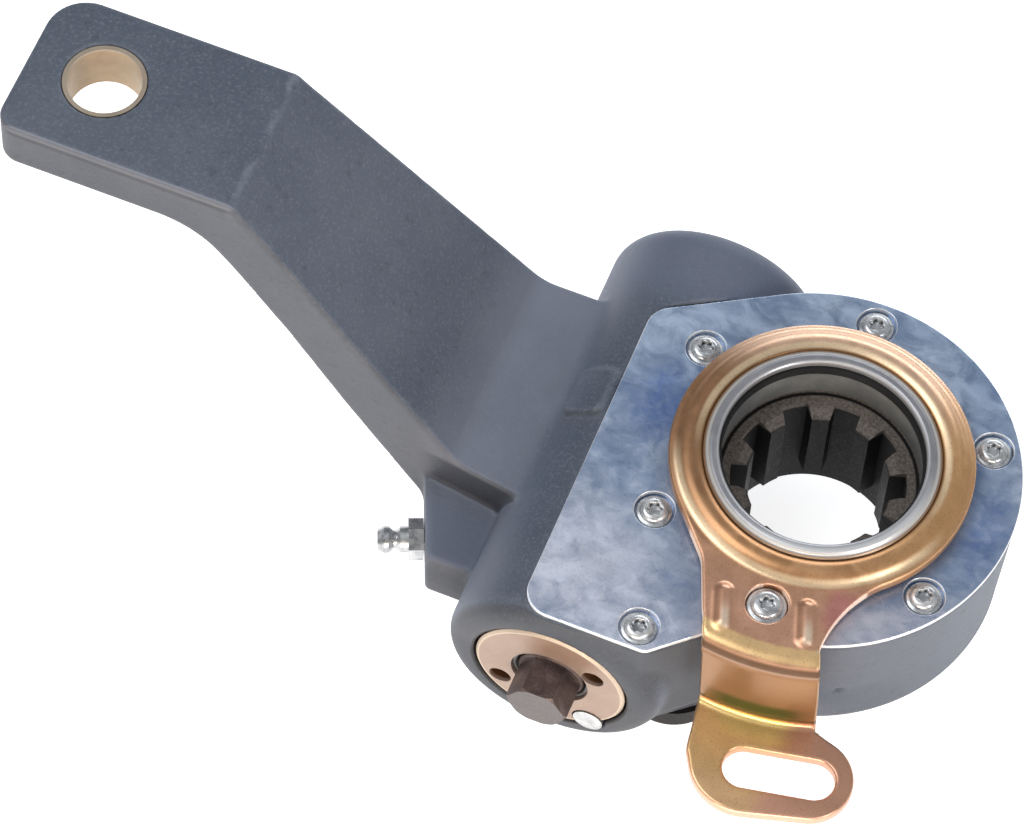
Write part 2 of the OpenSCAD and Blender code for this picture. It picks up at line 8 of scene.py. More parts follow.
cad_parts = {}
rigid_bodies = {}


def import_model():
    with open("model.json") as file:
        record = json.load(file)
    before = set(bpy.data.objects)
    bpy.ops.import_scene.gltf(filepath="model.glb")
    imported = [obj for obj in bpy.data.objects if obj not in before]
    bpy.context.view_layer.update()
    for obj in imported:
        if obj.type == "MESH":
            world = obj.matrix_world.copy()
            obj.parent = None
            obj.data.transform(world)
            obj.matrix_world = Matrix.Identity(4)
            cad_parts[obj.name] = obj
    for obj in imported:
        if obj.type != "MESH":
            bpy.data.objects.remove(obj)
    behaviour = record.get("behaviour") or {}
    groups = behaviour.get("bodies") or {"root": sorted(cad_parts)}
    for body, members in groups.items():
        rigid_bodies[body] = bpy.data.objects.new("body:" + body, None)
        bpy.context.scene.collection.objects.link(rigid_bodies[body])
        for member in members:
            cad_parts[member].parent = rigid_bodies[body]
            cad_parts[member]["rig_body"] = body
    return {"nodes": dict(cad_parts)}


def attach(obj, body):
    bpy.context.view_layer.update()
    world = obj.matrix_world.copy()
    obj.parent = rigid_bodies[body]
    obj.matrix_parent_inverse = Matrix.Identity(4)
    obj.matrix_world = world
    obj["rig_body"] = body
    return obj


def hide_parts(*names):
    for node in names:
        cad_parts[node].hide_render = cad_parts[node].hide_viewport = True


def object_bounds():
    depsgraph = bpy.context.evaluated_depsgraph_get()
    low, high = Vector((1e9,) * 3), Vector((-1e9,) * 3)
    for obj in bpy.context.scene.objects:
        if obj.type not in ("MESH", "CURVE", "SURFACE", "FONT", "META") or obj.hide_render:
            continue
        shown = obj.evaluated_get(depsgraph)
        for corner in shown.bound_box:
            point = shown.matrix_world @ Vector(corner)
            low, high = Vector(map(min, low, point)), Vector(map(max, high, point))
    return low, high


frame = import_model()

NODES = frame["nodes"]
SCENE = bpy.context.scene
MM = 0.001
cad_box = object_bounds()


# ---------------------------------------------------------------- materials
class Mat:
    """A node material with short helpers; coordinates are the object's own, in metres."""

    def __init__(self, name):
        self.m = bpy.data.materials.new(name)
        self.m.use_nodes = True
        self.t = self.m.node_tree
        self.t.nodes.clear()
        self.out = self.t.nodes.new("ShaderNodeOutputMaterial")
        self.b = self.t.nodes.new("ShaderNodeBsdfPrincipled")
        self.t.links.new(self.b.outputs[0], self.out.inputs[0])
        self.co = self.t.nodes.new("ShaderNodeTexCoord").outputs["Object"]
        self.x, self.y, self.z = self.xyz()

    def put(self, socket, value):
        if isinstance(value, bpy.types.NodeSocket):
            self.t.links.new(value, socket)
        else:
            socket.default_value = value

    def set(self, **kw):
        names = {"color": "Base Color", "metal": "Metallic", "rough": "Roughness", "ior": "IOR",
                 "spec": "Specular IOR Level", "coat": "Coat Weight", "coat_rough": "Coat Roughness",
                 "normal": "Normal", "glow": "Emission Color", "glow_power": "Emission Strength"}
        for k, v in kw.items():
            if k in ("color", "glow") and not isinstance(v, bpy.types.NodeSocket):
                v = (*v, 1)
            self.put(self.b.inputs[names[k]], v)
        return self

    def noise(self, scale, detail=2.0, rough=0.5, dist=0.0, vec=None):
        n = self.t.nodes.new("ShaderNodeTexNoise")
        n.inputs["Scale"].default_value = scale
        n.inputs["Detail"].default_value = detail
        n.inputs["Roughness"].default_value = rough
        n.inputs["Distortion"].default_value = dist
        self.put(n.inputs["Vector"], vec if vec is not None else self.co)
        return n.outputs["Fac"]

    def math(self, op, a, b=0.0, c=0.0, clamp=False):
        n = self.t.nodes.new("ShaderNodeMath")
        n.operation = op
        n.use_clamp = clamp
        for i, v in enumerate((a, b, c)):
            self.put(n.inputs[i], v)
        return n.outputs[0]

    def mul(self, a, *rest):
        for b in rest:
            a = self.math("MULTIPLY", a, b)
        return a

    def sub(self, a, b):
        return self.math("SUBTRACT", a, b)

    def plus(self, a, b):
        return self.math("ADD", a, b)

    def span(self, v, a, b, lo=0.0, hi=1.0, smooth=True):
        n = self.t.nodes.new("ShaderNodeMapRange")
        n.interpolation_type = "SMOOTHSTEP" if smooth else "LINEAR"
        for i, x in enumerate((v, a, b, lo, hi)):
            self.put(n.inputs[i], x)
        return n.outputs[0]

    def band(self, v, mid, half, soft):
        """1 within half of mid, 0 beyond half + soft."""
        return self.span(self.math("ABSOLUTE", self.sub(v, mid)), half + soft, half)

    def xyz(self, vec=None):
        n = self.t.nodes.new("ShaderNodeSeparateXYZ")
        self.put(n.inputs[0], vec if vec is not None else self.co)
        return n.outputs[0], n.outputs[1], n.outputs[2]

    def hypot(self, a, b):
        return self.math("SQRT", self.plus(self.mul(a, a), self.mul(b, b)))

    def move(self, loc=(0, 0, 0), rot=(0, 0, 0), scale=(1, 1, 1)):
        n = self.t.nodes.new("ShaderNodeMapping")
        n.vector_type = "POINT"
        n.inputs["Location"].default_value = loc
        n.inputs["Rotation"].default_value = rot
        n.inputs["Scale"].default_value = scale
        self.put(n.inputs[0], self.co)
        return n.outputs[0]

    def mix(self, f, a, b, mode="MIX"):
        n = self.t.nodes.new("ShaderNodeMix")
        n.data_type = "RGBA"
        n.blend_type = mode
        self.put(n.inputs[0], f)
        for i, v in ((6, a), (7, b)):
            self.put(n.inputs[i], v if isinstance(v, bpy.types.NodeSocket) else (*v, 1))
        return n.outputs[2]

    def ramp(self, f, *stops):
        n = self.t.nodes.new("ShaderNodeValToRGB")
        e = n.color_ramp.elements
        while len(e) < len(stops):
            e.new(0.5)
        for el, (p, c) in zip(e, stops):
            el.position = p
            el.color = (*c, 1) if not isinstance(c, float) else (c, c, c, 1)
        self.put(n.inputs[0], f)
        return n.outputs[0]

    def bump(self, h, strength, distance, normal=None):
        n = self.t.nodes.new("ShaderNodeBump")
        n.inputs["Strength"].default_value = strength
        n.inputs["Distance"].default_value = distance
        self.put(n.inputs["Height"], h)
        if normal is not None:
            self.put(n.inputs["Normal"], normal)
        return n.outputs[0]

    def facing(self):
        return self.xyz(self.t.nodes.new("ShaderNodeTexCoord").outputs["Normal"])

    def pointy(self):
        return self.t.nodes.new("ShaderNodeNewGeometry").outputs["Pointiness"]


def srgb(r, g, b, gain=1.0):
    f = lambda v: v / 12.92 if v <= 0.04045 else ((v + 0.055) / 1.055) ** 2.4
    return tuple(min(gain * f(v / 255), 1.0) for v in (r, g, b))


def cast_paint():
    m = Mat("cast_paint")
    cloud = m.noise(24, 4, 0.6)
    grain = m.noise(1500, 3, 0.65)
    lumps = m.noise(380, 3, 0.6)
    base = m.mix(m.span(cloud, 0.3, 0.7), srgb(77, 85, 99), srgb(91, 98, 111))
    base = m.mix(m.span(grain, 0.46, 0.76, 0, 0.6), base, srgb(118, 123, 134))
    base = m.mix(m.span(lumps, 0.56, 0.78, 0, 0.55), base, srgb(64, 69, 80))
    # Painted highlight, in patches, on the top of the lever's root
    root = m.mul(m.span(m.x, -0.086, -0.072), m.span(m.x, -0.050, -0.062), m.span(m.z, -0.001, 0.006))
    base = m.mix(m.mul(root, m.span(cloud, 0.3, 0.7, 0.5, 0.8)), base, srgb(120, 126, 140))
    scuff = m.noise(110, 4, 0.6)
    worn = m.mul(m.span(m.pointy(), 0.515, 0.575), m.span(scuff, 0.36, 0.62))
    # Rubbed line along the upper bend; along the front edge of the eye a rubbed line that is partly a painted highlight
    bend = m.mul(m.band(m.plus(m.x, m.mul(m.sub(scuff, 0.5), 0.004)), -0.1284, 0.0001, 0.0012), m.span(m.z, 0.0700, 0.0722), m.span(scuff, 0.36, 0.60))
    edge = m.mul(m.band(m.y, -0.0184, 0.0002, 0.0005), m.span(m.z, 0.0728, 0.0734), m.span(m.x, -0.1268, -0.1290))
    worn = m.math("MAXIMUM", m.mul(worn, 0.32), m.math("MAXIMUM", m.mul(bend, 0.3), m.mul(edge, 0.5)))
    base = m.mix(worn, base, srgb(150, 156, 168))
    # Thin line of painted shade under the eye's front edge
    edge_underside_shade = m.mul(m.band(m.z, 0.0724, 0.0003, 0.0005), m.span(m.y, -0.0180, -0.0184), m.span(m.x, -0.1268, -0.1290))
    base = m.mix(m.mul(edge_underside_shade, 0.45), base, srgb(52, 54, 60))
    # Painted shade: faces turned to the front are darker and warmer
    side = m.mul(m.span(m.facing()[1], -0.25, -0.75), m.span(m.x, 0.014, -0.004, 0.5, 1.0))
    base = m.mix(m.mul(side, 0.9), base, m.mix(1.0, base, (0.63, 0.58, 0.545), "MULTIPLY"))
    # More painted shade on the front faces of the barrel and hub
    near = m.mul(m.span(m.facing()[1], -0.25, -0.75), m.span(m.x, -0.075, -0.062), m.span(m.x, 0.004, -0.010))
    base = m.mix(m.mul(near, 0.85), base, m.mix(1.0, base, (0.78, 0.79, 0.78), "MULTIPLY"))
    # Bluer on the barrel's far end; on the top of the grease boss bluer and lighter, a painted highlight
    bluer_patch = m.math("MAXIMUM", m.mul(m.span(m.y, 0.022, 0.034), m.span(m.x, -0.070, -0.060)), m.mul(m.span(m.y, -0.026, -0.032), m.span(m.x, -0.060, -0.066), m.span(m.facing()[2], 0.3, 0.8)))
    base = m.mix(m.mul(bluer_patch, 0.55), base, srgb(104, 111, 131))
    # Painted shade in the crease above the grease boss and in the gap round the bearing cap
    crease_shade = m.mul(m.span(m.x, -0.084, -0.077), m.span(m.x, -0.052, -0.058), m.span(m.y, -0.0305, -0.0285), m.span(m.y, -0.0215, -0.0235), m.span(m.z, 0.0025, 0.0045), m.span(m.z, 0.0142, 0.0125))
    base = m.mix(m.mul(crease_shade, m.span(m.facing()[1], -0.15, -0.5), 0.85), base, srgb(44, 47, 56))
    rw = m.hypot(m.plus(m.x, 0.0384), m.z)
    gap_shade = m.mul(m.band(rw, 0.0176, 0.0003, 0.0004), m.span(m.y, -0.0535, -0.0555))
    base = m.mix(m.mul(gap_shade, 0.9), base, srgb(34, 32, 32))
    h = m.bump(grain, 0.28, 0.00016)
    h = m.bump(lumps, 0.25, 0.00035, h)
    m.set(color=base, rough=m.span(grain, 0.3, 0.7, 0.46, 0.60), spec=0.4, normal=h)
    return m.m


def bush_brass():
    m = Mat("bush_brass")
    turn = m.noise(900, 2, 0.5, vec=m.move(scale=(0.03, 0.03, 1)))
    cloud = m.noise(140, 3, 0.6)
    base = m.ramp(cloud, (0.3, srgb(176, 146, 112, 0.74)), (0.55, srgb(196, 168, 132, 0.74)), (0.75, srgb(212, 190, 158, 0.74)))
    rim = m.span(m.z, 0.0732, 0.0738)
    base = m.mix(m.mul(rim, 0.7), base, srgb(206, 194, 178, 0.66))
    m.set(color=base, metal=0.45, rough=m.span(cloud, 0.3, 0.7, 0.34, 0.46), normal=m.bump(turn, 0.15, 0.0001))
    return m.m


def cover_zinc():
    m = Mat("cover_zinc")
    big = m.noise(46, 3, 0.5, 0.5)
    streak = m.noise(120, 4, 0.6, 0.8, vec=m.move(rot=(0, 0, 0.6), scale=(1, 1.5, 1)))
    spots = m.noise(330, 4, 0.65, 0.6)
    fine = m.noise(1800, 2, 0.6)
    g = 1.25
    f = m.plus(m.mul(big, 0.44), m.plus(m.mul(streak, 0.30), m.mul(spots, 0.26)))
    base = m.ramp(f, (0.38, srgb(106, 126, 162, g)), (0.47, srgb(122, 140, 169, g)), (0.54, srgb(140, 155, 180, g)), (0.64, srgb(172, 183, 202, g)))
    # Paler towards the barrel corner and along the front of the hub
    top = m.span(m.plus(m.y, m.mul(m.x, -0.2)), 0.004, 0.024)
    base = m.mix(m.mul(top, m.span(streak, 0.3, 0.65, 0.15, 0.6)), base, srgb(172, 190, 213, g))
    low = m.span(m.plus(m.mul(m.x, 0.55), m.y), -0.036, -0.062)
    base = m.mix(m.mul(low, m.span(f, 0.38, 0.60, 0.35, 0.85)), base, srgb(204, 208, 222, g))
    base = m.mix(m.mul(m.span(m.hypot(m.x, m.y), 0.0340, 0.0385), m.span(m.y, -0.012, -0.032), m.span(m.x, -0.014, -0.004), m.span(streak, 0.3, 0.65, 0.4, 0.8)), base, srgb(190, 190, 201, g))
    # Deep blue bloom beside the ring
    bx = m.math("DIVIDE", m.plus(m.plus(m.x, 0.0365), m.mul(m.sub(streak, 0.5), 0.012)), 0.0075)
    by = m.math("DIVIDE", m.sub(m.y, m.plus(0.0015, m.mul(m.sub(big, 0.5), 0.012))), 0.0125)
    blue = m.span(m.hypot(bx, by), 1.25, 0.35)
    bx = m.math("DIVIDE", m.sub(m.x, 0.0372), 0.0055)
    by = m.math("DIVIDE", m.plus(m.y, m.plus(0.002, m.mul(m.sub(big, 0.5), 0.02))), 0.0125)
    blue = m.math("MAXIMUM", m.mul(blue, 0.8), m.span(m.hypot(bx, by), 1.3, 0.3, 0, 0.5))
    base = m.mix(m.mul(blue, m.span(spots, 0.3, 0.62, 1.0, 0.55)), base, srgb(84, 112, 168, g))
    base = m.mix(m.span(fine, 0.5, 0.75, 0, 0.22), base, srgb(96, 108, 132, g))
    # Painted highlight along the plate's rounded edges
    edge = m.mul(m.span(m.facing()[2], 0.97, 0.80), m.span(m.z, 0.0227, 0.0231), m.span(m.hypot(m.x, m.y), 0.0262, 0.0266))
    base = m.mix(m.mul(edge, m.span(streak, 0.3, 0.6, 0.6, 0.95)), base, srgb(240, 242, 246, g))
    h = m.bump(streak, 0.10, 0.0006)
    m.set(color=base, metal=0.55, rough=m.span(streak, 0.3, 0.7, 0.24, 0.40), normal=m.bump(fine, 0.12, 0.0001, h))
    return m.m


def bright_zinc(name="bright_zinc", crease_shade=0.9, k=1.0):
    m = Mat(name)
    cloud = m.noise(420, 3, 0.6)
    fine = m.noise(2600, 2, 0.6)
    base = m.ramp(cloud, (0.3, srgb(174, 176, 180, k)), (0.5, srgb(212, 213, 215, k)), (0.72, srgb(236, 237, 238, k)))
    # Painted shade in the concave hollows of the heads
    if crease_shade:
        base = m.mix(m.span(m.pointy(), 0.495, 0.44, 0, crease_shade), base, srgb(46, 46, 50))
    m.set(color=base, metal=0.7 if crease_shade else 0.88, rough=m.span(cloud, 0.3, 0.7, 0.22, 0.36), normal=m.bump(fine, 0.15, 0.00008))
    return m.m


def ring_zinc():
    m = Mat("ring_zinc")
    r = m.hypot(m.x, m.y)
    cloud = m.noise(180, 3, 0.6)
    fine = m.noise(2600, 2, 0.6)
    lines = m.noise(6000, 2, 0.5, vec=_radial(m, r))
    base = m.ramp(cloud, (0.3, srgb(136, 136, 142)), (0.7, srgb(160, 160, 165)))
    # Painted highlight on the lower right of the ring
    shine = m.span(m.sub(m.mul(m.x, 0.55), m.mul(m.y, 0.84)), 0.008, 0.021)
    base = m.mix(m.mul(shine, m.span(r, 0.0226, 0.0236), 0.85), base, srgb(232, 233, 236))
    base = m.mix(m.span(lines, 0.50, 0.72, 0, 0.5), base, srgb(110, 110, 114))
    # Painted highlights along the outer and inner edges
    base = m.mix(m.mul(m.band(r, 0.0246, 0.0001, 0.0004), 0.8), base, srgb(222, 219, 214))
    base = m.mix(m.mul(m.band(r, 0.0224, 0.0001, 0.0004), 0.6), base, srgb(212, 212, 214))
    # Painted reflection of the gold bead on the outer edge
    base = m.mix(m.span(r, 0.0249, 0.0252, 0, 0.85), base, srgb(156, 118, 78))
    base = m.mix(m.span(r, 0.0222, 0.0219), base, srgb(120, 120, 122))
    m.set(color=base, metal=0.45, rough=m.span(lines, 0.3, 0.7, 0.28, 0.42), normal=m.bump(lines, 0.18, 0.0001))
    return m.m


def _radial(m, r):
    n = m.t.nodes.new("ShaderNodeCombineXYZ")
    m.put(n.inputs[0], r)
    return n.outputs[0]


def yellow_zinc():
    m = Mat("yellow_zinc")
    r = m.hypot(m.x, m.y)
    big = m.noise(48, 3, 0.55, 0.6)
    mid = m.noise(150, 4, 0.6, 1.0)
    fine = m.noise(2200, 2, 0.6)
    g = 1.5
    base = m.ramp(mid, (0.3, srgb(158, 116, 80, g)), (0.5, srgb(168, 126, 89, g)), (0.7, srgb(180, 138, 101, g)))
    # Pink bloom on the flat neck and the ring's outer edge
    pink = m.math("MAXIMUM", m.mul(m.span(r, 0.0335, 0.0365), m.span(m.z, 0.0245, 0.0255)), m.mul(m.span(r, 0.0312, 0.0326), 0.8))
    base = m.mix(m.mul(pink, m.span(big, 0.32, 0.62, 0.35, 0.9)), base, srgb(186, 142, 118, g))
    mag = m.mul(m.band(m.x, 0.0165, 0.0015, 0.0035), m.band(m.y, -0.0335, 0.002, 0.005), m.span(m.z, 0.0245, 0.0255))
    base = m.mix(m.mul(mag, 0.6), base, srgb(184, 112, 118, g))
    # Pale cut edge of the sheet, brightened further by a painted highlight
    rim = m.mul(m.span(m.facing()[2], 0.75, 0.35), m.span(m.z, 0.0252, 0.0255), m.span(r, 0.0334, 0.0338))
    base = m.mix(m.mul(rim, 0.85), base, srgb(244, 222, 208, 1.1))
    # Bead: painted shade on the lever's side and in the recess next to the silver ring, painted highlights on the far
    # side, the right side and in two bright bands
    bead = m.mul(m.span(r, 0.0332, 0.0326), m.span(m.z, 0.0252, 0.0256))
    base = m.mix(m.mul(bead, m.span(m.x, -0.010, -0.024), 0.8), base, srgb(146, 108, 78, 1.05))
    base = m.mix(m.mul(bead, m.span(m.y, 0.008, 0.024), m.span(r, 0.0256, 0.0272), 0.7), base, srgb(232, 196, 170, 1.15))
    # Two bands of painted highlight on the bead
    bright = m.math("MAXIMUM", m.mul(m.band(r, 0.0268, 0.0003, 0.0008), m.span(m.y, -0.012, 0.004)), m.mul(m.band(r, 0.0310, 0.0003, 0.0009), m.span(m.y, -0.006, -0.016)))
    base = m.mix(m.mul(bead, m.span(m.x, 0.014, 0.026), 0.5), base, srgb(196, 154, 108, 1.4))
    base = m.mix(m.mul(bead, bright, 0.75), base, srgb(252, 226, 188))
    # Painted shade in the recess next to the silver ring
    base = m.mix(m.mul(m.span(r, 0.0263, 0.0258), m.span(m.z, 0.0252, 0.0256), 0.8), base, srgb(140, 102, 62))
    # Bend: painted highlight in a pale gold band before the crown, painted shade on the crown with a darker line of
    # painted shade on it
    crease_shade = m.mul(m.band(m.z, 0.0264, 0.0003, 0.0006), m.span(r, 0.0498, 0.0504))
    matt_shade = m.mul(m.band(m.z, 0.0257, 0.0012, 0.0006), m.span(r, 0.0498, 0.0504))
    base = m.mix(m.mul(m.band(r, 0.0484, 0.0014, 0.0009), m.span(m.z, 0.0264, 0.0269), 0.85), base, srgb(216, 180, 128, g))
    base = m.mix(m.mul(matt_shade, 0.8), base, srgb(150, 108, 72, 0.62))
    base = m.mix(m.mul(crease_shade, 0.85), base, srgb(112, 76, 44, 0.5))
    # Painted shade on the left slope and a painted highlight on the right side of the two ribs
    for px, py in ((-0.0068, -0.0418), (0.0107, -0.0389)):
        dx, dy = m.sub(m.x, px), m.sub(m.y, py)
        across = m.plus(m.mul(dx, 0.951), m.mul(dy, 0.309))
        along = m.sub(m.mul(dy, 0.951), m.mul(dx, 0.309))
        shade = m.mul(m.band(across, -0.0013, 0.0003, 0.0011), m.band(along, 0.0002, 0.0036, 0.0018), m.span(m.z, 0.0278, 0.0281))
        base = m.mix(m.mul(shade, 0.5), base, srgb(124, 84, 58))
        rib_highlight = m.mul(m.band(across, 0.0004, 0.0004, 0.0009), m.span(along, 0.002, -0.003), m.span(along, -0.0056, -0.0046), m.span(m.z, 0.0278, 0.0283))
        base = m.mix(m.mul(rib_highlight, 0.9), base, srgb(255, 230, 204))
    # Drop wall: tan, green low down, then a line of painted shade and a bright yellow painted highlight at the lower
    # bend
    wall = m.mul(m.span(r, 0.0505, 0.0512), m.span(r, 0.0535, 0.0528), m.span(m.z, 0.0252, 0.0242))
    base = m.mix(m.mul(wall, 0.85), base, m.mix(m.span(m.x, 0.004, 0.014), srgb(178, 134, 92, 0.60), srgb(184, 136, 82, 0.62)))
    gx = m.mul(m.span(m.x, -0.0075, 0.000), m.span(m.x, 0.0185, 0.011))
    base = m.mix(m.mul(m.band(m.z, 0.0082, 0.0012, 0.0026), wall, gx, 0.95), base, srgb(100, 112, 50, 0.6))
    # Line of painted shade in the lower bend
    base = m.mix(m.mul(m.band(m.z, 0.0059, 0.0003, 0.0006), m.span(r, 0.0512, 0.0520), 0.9), base, srgb(88, 68, 34, 0.8))
    foot = m.span(m.z, 0.0056, 0.0048)
    fx = m.plus(m.x, m.mul(m.sub(big, 0.5), 0.02))
    gold = m.mix(m.span(fx, 0.010, 0.020), srgb(198, 149, 112, 1.2), srgb(188, 144, 122, 1.35))
    gold = m.mix(m.mul(m.band(fx, 0.007, 0.004, 0.005), m.span(r, 0.0590, 0.0560), 0.75), gold, srgb(224, 190, 112, 1.2))
    gold = m.mix(m.span(m.y, -0.064, -0.071), gold, srgb(196, 150, 128, 1.6))
    base = m.mix(m.mul(foot, 0.85), base, gold)
    # Painted highlight, bright yellow, along the lower bend
    base = m.mix(m.mul(m.band(m.z, 0.0045, 0.0003, 0.0004), m.span(r, 0.0521, 0.0525), m.span(m.x, 0.016, 0.010), 0.9), base, srgb(240, 212, 140, 1.1))
    base = m.mix(m.span(fine, 0.5, 0.78, 0, 0.3), base, srgb(126, 90, 58))
    wear = m.mul(m.span(m.pointy(), 0.52, 0.60), m.span(mid, 0.3, 0.6))
    base = m.mix(m.mul(wear, 0.45, m.sub(1.0, matt_shade)), base, srgb(240, 212, 174))
    # Painted shade in the concave hollows
    base = m.mix(m.span(m.pointy(), 0.485, 0.43, 0, 0.7), base, srgb(96, 64, 40))
    dull = m.math("MAXIMUM", matt_shade, m.math("MAXIMUM", crease_shade, rim))
    rough = m.plus(m.span(mid, 0.3, 0.7, 0.28, 0.38), m.mul(dull, 0.35))
    m.set(color=base, metal=m.span(dull, 0, 1, 0.68, 0.2), rough=rough, normal=m.bump(fine, 0.10, 0.0001))
    return m.m


def cap_bronze():
    m = Mat("cap_bronze")
    dx = m.plus(m.x, 0.0384)
    r = m.hypot(dx, m.z)
    cloud = m.noise(130, 3, 0.6)
    fine = m.noise(2400, 2, 0.6)
    base = m.ramp(cloud, (0.3, srgb(200, 170, 152, 0.51)), (0.52, srgb(212, 184, 167, 0.51)), (0.72, srgb(222, 198, 182, 0.51)))
    # Painted reflection of the barrel, darker and browner, on the upper part of the face
    base = m.mix(m.mul(m.span(m.z, 0.0055, 0.0125), m.span(dx, -0.009, 0.000), m.span(dx, 0.015, 0.008), 0.75), base, srgb(164, 126, 102, 0.65))
    # Painted highlight on the rim's chamfer
    base = m.mix(m.mul(m.span(r, 0.0160, 0.0164), 0.7), base, srgb(236, 218, 196, 0.8))
    # Painted shade inside the spanner holes and round the cap's side
    base = m.mix(m.span(m.y, -0.0572, -0.0566), base, srgb(96, 66, 42))
    base = m.mix(m.span(fine, 0.52, 0.78, 0, 0.25), base, srgb(166, 130, 106, 0.6))
    m.set(color=base, metal=0.35, rough=m.span(cloud, 0.3, 0.7, 0.36, 0.5), normal=m.bump(fine, 0.2, 0.0001))
    return m.m


def wheel_steel():
    m = Mat("wheel_steel")
    r = m.hypot(m.x, m.y)
    cloud = m.noise(120, 4, 0.6)
    fine = m.noise(1500, 3, 0.65)
    base = m.ramp(cloud, (0.3, srgb(42, 39, 40, 0.26)), (0.7, srgb(60, 56, 57, 0.26)))
    # Painted shade down in the spline slots and in the lower half of the bore
    base = m.mix(m.mul(m.span(r, 0.0157, 0.0163), m.span(m.z, 0.0172, 0.0164)), base, srgb(30, 27, 30, 0.6))
    base = m.mix(m.span(m.z, 0.004, -0.004), base, srgb(24, 22, 23, 0.6))
    face = m.mul(m.span(m.z, 0.0163, 0.0168), m.span(fine, 0.35, 0.65, 0.5, 1.0))
    base = m.mix(face, base, srgb(132, 122, 114))
    base = m.mix(m.mul(m.band(r, 0.0213, 0.0002, 0.0004), m.span(m.z, 0.0186, 0.0182)), base, srgb(28, 26, 26))
    wall = m.mul(m.span(m.z, 0.0182, 0.0186), m.span(r, 0.0210, 0.0216))
    base = m.mix(wall, base, m.ramp(cloud, (0.3, srgb(112, 113, 113)), (0.7, srgb(138, 138, 136))))
    base = m.mix(m.span(fine, 0.55, 0.8, 0, 0.3), base, srgb(120, 114, 110, 0.7))
    m.set(color=base, metal=0.2, spec=0.16, rough=m.span(fine, 0.3, 0.7, 0.45, 0.62), normal=m.bump(fine, 0.3, 0.00012))
    return m.m


def worm_brown():
    m = Mat("worm_brown")
    cloud = m.noise(220, 4, 0.6)
    fine = m.noise(2000, 3, 0.65)
    base = m.ramp(cloud, (0.3, srgb(60, 47, 45)), (0.55, srgb(84, 69, 66)), (0.75, srgb(112, 98, 96)))
    base = m.mix(m.span(fine, 0.5, 0.78, 0, 0.45), base, srgb(140, 126, 122))
    tip = m.mul(m.span(m.y, -0.0651, -0.0656), m.span(m.facing()[1], -0.90, -0.97))
    base = m.mix(m.mul(tip, 0.85), base, srgb(146, 141, 142, 0.46))
    m.set(color=base, metal=0.5, rough=m.span(fine, 0.3, 0.7, 0.34, 0.55), normal=m.bump(fine, 0.25, 0.00012))
    return m.m


def seal_ring():
    m = Mat("seal_ring")
    r = m.hypot(m.plus(m.x, 0.0384), m.z)
    fine = m.noise(1800, 3, 0.6)
    base = m.ramp(fine, (0.3, srgb(96, 94, 95)), (0.7, srgb(132, 130, 130)))
    base = m.mix(m.span(r, 0.00815, 0.00805), base, srgb(26, 25, 26))
    m.set(color=base, metal=m.span(r, 0.00805, 0.00815, 0.0, 0.6), rough=m.span(fine, 0.3, 0.7, 0.38, 0.55), normal=m.bump(fine, 0.2, 0.0001))
    return m.m


def bearing_steel():
    m = Mat("bearing_steel")
    cloud = m.noise(220, 3, 0.6)
    base = m.ramp(cloud, (0.3, srgb(150, 152, 156)), (0.7, srgb(206, 208, 210)))
    m.set(color=base, metal=1.0, rough=m.span(cloud, 0.3, 0.7, 0.14, 0.26), normal=m.bump(m.noise(2500), 0.08, 0.00006))
    return m.m


def spring_steel():
    m = Mat("spring_steel")
    cloud = m.noise(260, 3, 0.6)
    base = m.ramp(cloud, (0.3, srgb(70, 72, 78)), (0.7, srgb(118, 121, 128)))
    m.set(color=base, metal=0.9, rough=m.span(cloud, 0.3, 0.7, 0.3, 0.45), normal=m.bump(m.noise(2500), 0.12, 0.00008))
    return m.m


def rubber():
    m = Mat("rubber")
    fine = m.noise(1600, 3, 0.6)
    base = m.ramp(fine, (0.3, srgb(12, 12, 13)), (0.7, srgb(28, 28, 30)))
    m.set(color=base, rough=m.span(fine, 0.3, 0.7, 0.5, 0.7), spec=0.35, normal=m.bump(fine, 0.3, 0.0001))
    return m.m


def gasket_paper():
    m = Mat("gasket")
    fine = m.noise(900, 3, 0.6)
    base = m.ramp(fine, (0.3, srgb(48, 46, 44)), (0.7, srgb(78, 75, 72)))
    m.set(color=base, rough=0.8, normal=m.bump(fine, 0.3, 0.0001))
    return m.m


MATS = {
    "cast_paint": cast_paint(), "bush_brass": bush_brass(), "cover_zinc": cover_zinc(), "gasket": gasket_paper(),
    "bright_zinc": bright_zinc(), "plain_zinc": bright_zinc("plain_zinc", 0, 0.82), "ring_zinc": ring_zinc(), "wheel_steel": wheel_steel(), "rubber": rubber(),
    "cap_bronze": cap_bronze(), "bearing_steel": bearing_steel(), "spring_steel": spring_steel(),
    "yellow_zinc": yellow_zinc(), "worm_brown": worm_brown(), "seal_ring": seal_ring(),
}


def paint(obj, mat):
    obj.data.materials.clear()
    obj.data.materials.append(MATS[mat])


LOOK = {
    "housing": "cast_paint", "lever_bush": "bush_brass", "cover_plate": "cover_zinc", "cover_gasket": "gasket",
    "cover_screws": "bright_zinc", "worm_wheel": "wheel_steel", "wheel_back_o_ring": "rubber", "worm_screw": "worm_brown",
    "bearing_cap": "cap_bronze", "cap_lock_plug": "plain_zinc", "cap_o_ring": "rubber", "shaft_seal": "seal_ring",
    "thrust_washer_fixed": "bearing_steel", "thrust_balls": "bearing_steel", "thrust_washer_turning": "bearing_steel",
    "clutch_wheel": "bearing_steel", "wrap_spring": "spring_steel", "main_spring": "spring_steel", "spring_seat": "bearing_steel",
    "control_shaft": "bearing_steel", "control_pinion": "bearing_steel", "control_shaft_plug": "rubber",
    "control_ring": "ring_zinc", "control_arm": "yellow_zinc", "arm_screw": "bright_zinc", "front_seal": "rubber",
    "grease_nipple": "plain_zinc", "nipple_ball": "bearing_steel",
}
for n, mat in LOOK.items():
    paint(NODES[n], mat)


# ---------------------------------------------------------------- mesh helpers
def body_of(node):
    return NODES[node]["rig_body"]


